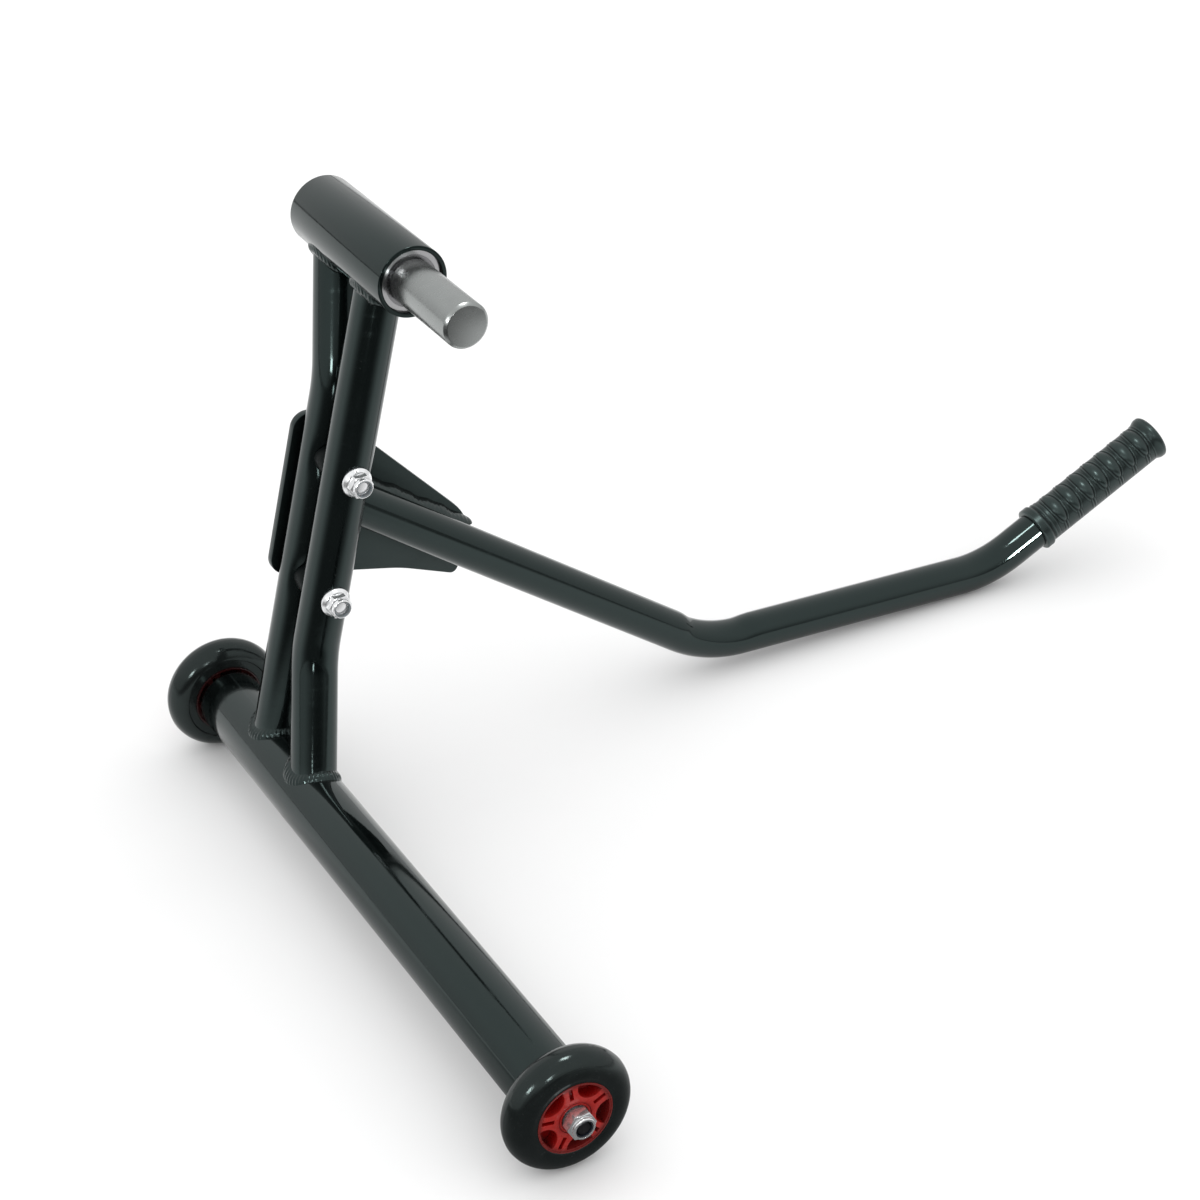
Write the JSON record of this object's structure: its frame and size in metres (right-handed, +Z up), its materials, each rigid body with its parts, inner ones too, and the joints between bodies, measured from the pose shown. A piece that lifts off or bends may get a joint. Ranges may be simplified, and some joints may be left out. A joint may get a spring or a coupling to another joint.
{
  "type": "paddock stand",
  "caption": "Single-sided motorcycle paddock stand: wheeled base tube, leaning bent uprights, bearing head with a plain axle pin, bolted bracket plate and a long bent lever with a rubber grip.",
  "frame": {"origin": "on the floor, in the middle of the stand's outline", "axes": "+X along the lever towards the grip, +Y along the wheel axle line from the pin side to the lever side, +Z up"},
  "size_m": [0.833, 0.564, 0.4376],
  "materials": {
    "black_paint": "glossy black powder coat",
    "painted_weld": "weld bead under glossy black powder coat",
    "grip_rubber": "moulded black rubber",
    "plug_steel": "turned steel",
    "zinc_plate": "bright zinc plate",
    "nylon_ring": "dark nylon",
    "tyre_rubber": "smooth glossy black rubber",
    "red_core": "moulded bright red plastic",
    "bearing_steel": "ground bearing steel",
    "bearing_shield": "pressed steel shield",
    "pin_steel": "turned and ground steel",
    "black_oxide": "black oxide steel"
  },
  "bodies": {
    "stand": {"base_tube": "black_paint", "base_end_plugs": "plug_steel", "head_tube": "black_paint", "front_upright": "black_paint", "rear_upright": "black_paint", "upright_spacers": "black_paint", "foot_welds": "painted_weld", "head_welds": "painted_weld", "bracket_plate": "black_paint", "bracket_bolts": "zinc_plate", "bracket_washers": "zinc_plate", "bracket_nuts": "zinc_plate", "bracket_nut_rings": "nylon_ring", "lever_tube": "black_paint", "lever_welds": "painted_weld", "lever_grip": "grip_rubber", "head_outer_races": "bearing_steel", "head_shields": "bearing_shield", "head_balls": "bearing_steel", "near_inner_races": "bearing_steel", "near_bearing_sleeve": "bearing_steel", "near_axle_spacer": "zinc_plate", "near_axle_washer": "zinc_plate", "near_axle_bolt": "black_oxide", "near_lock_nut": "zinc_plate", "near_lock_nut_ring": "nylon_ring", "far_inner_races": "bearing_steel", "far_bearing_sleeve": "bearing_steel", "far_axle_spacer": "zinc_plate", "far_axle_washer": "zinc_plate", "far_axle_bolt": "black_oxide", "far_lock_nut": "zinc_plate", "far_lock_nut_ring": "nylon_ring"},
    "near_wheel": {"near_tyre": "tyre_rubber", "near_wheel_core": "red_core", "near_outer_races": "bearing_steel", "near_shields": "bearing_shield", "near_balls": "bearing_steel"},
    "far_wheel": {"far_tyre": "tyre_rubber", "far_wheel_core": "red_core", "far_outer_races": "bearing_steel", "far_shields": "bearing_shield", "far_balls": "bearing_steel"},
    "spindle": {"head_inner_races": "bearing_steel", "head_sleeve": "bearing_steel"},
    "pin_clamp": {"end_disc": "black_oxide", "cap_screw": "black_oxide"},
    "pin": {"axle_pin": "pin_steel"}
  },
  "joints": [
    {"name": "near_wheel_spin", "type": "hinge", "parent": "stand", "child": "near_wheel", "pos_m": [-0.37451, -0.259, 0.042], "axis": [0, 1, 0], "continuous": true},
    {"name": "far_wheel_spin", "type": "hinge", "parent": "stand", "child": "far_wheel", "pos_m": [-0.37451, 0.259, 0.042], "axis": [0, 1, 0], "continuous": true},
    {"name": "spindle_spin", "type": "hinge", "parent": "stand", "child": "spindle", "pos_m": [-0.28978, 0.159, 0.41346], "axis": [0, 1, 0], "continuous": true},
    {"name": "clamp_out", "type": "slide", "parent": "spindle", "child": "pin_clamp", "axis": [0, 1, 0], "range_m": [0, 0.045]},
    {"name": "pin_out", "type": "slide", "parent": "spindle", "child": "pin", "axis": [0, -1, 0], "range_m": [0, 0.135]}
  ]
}
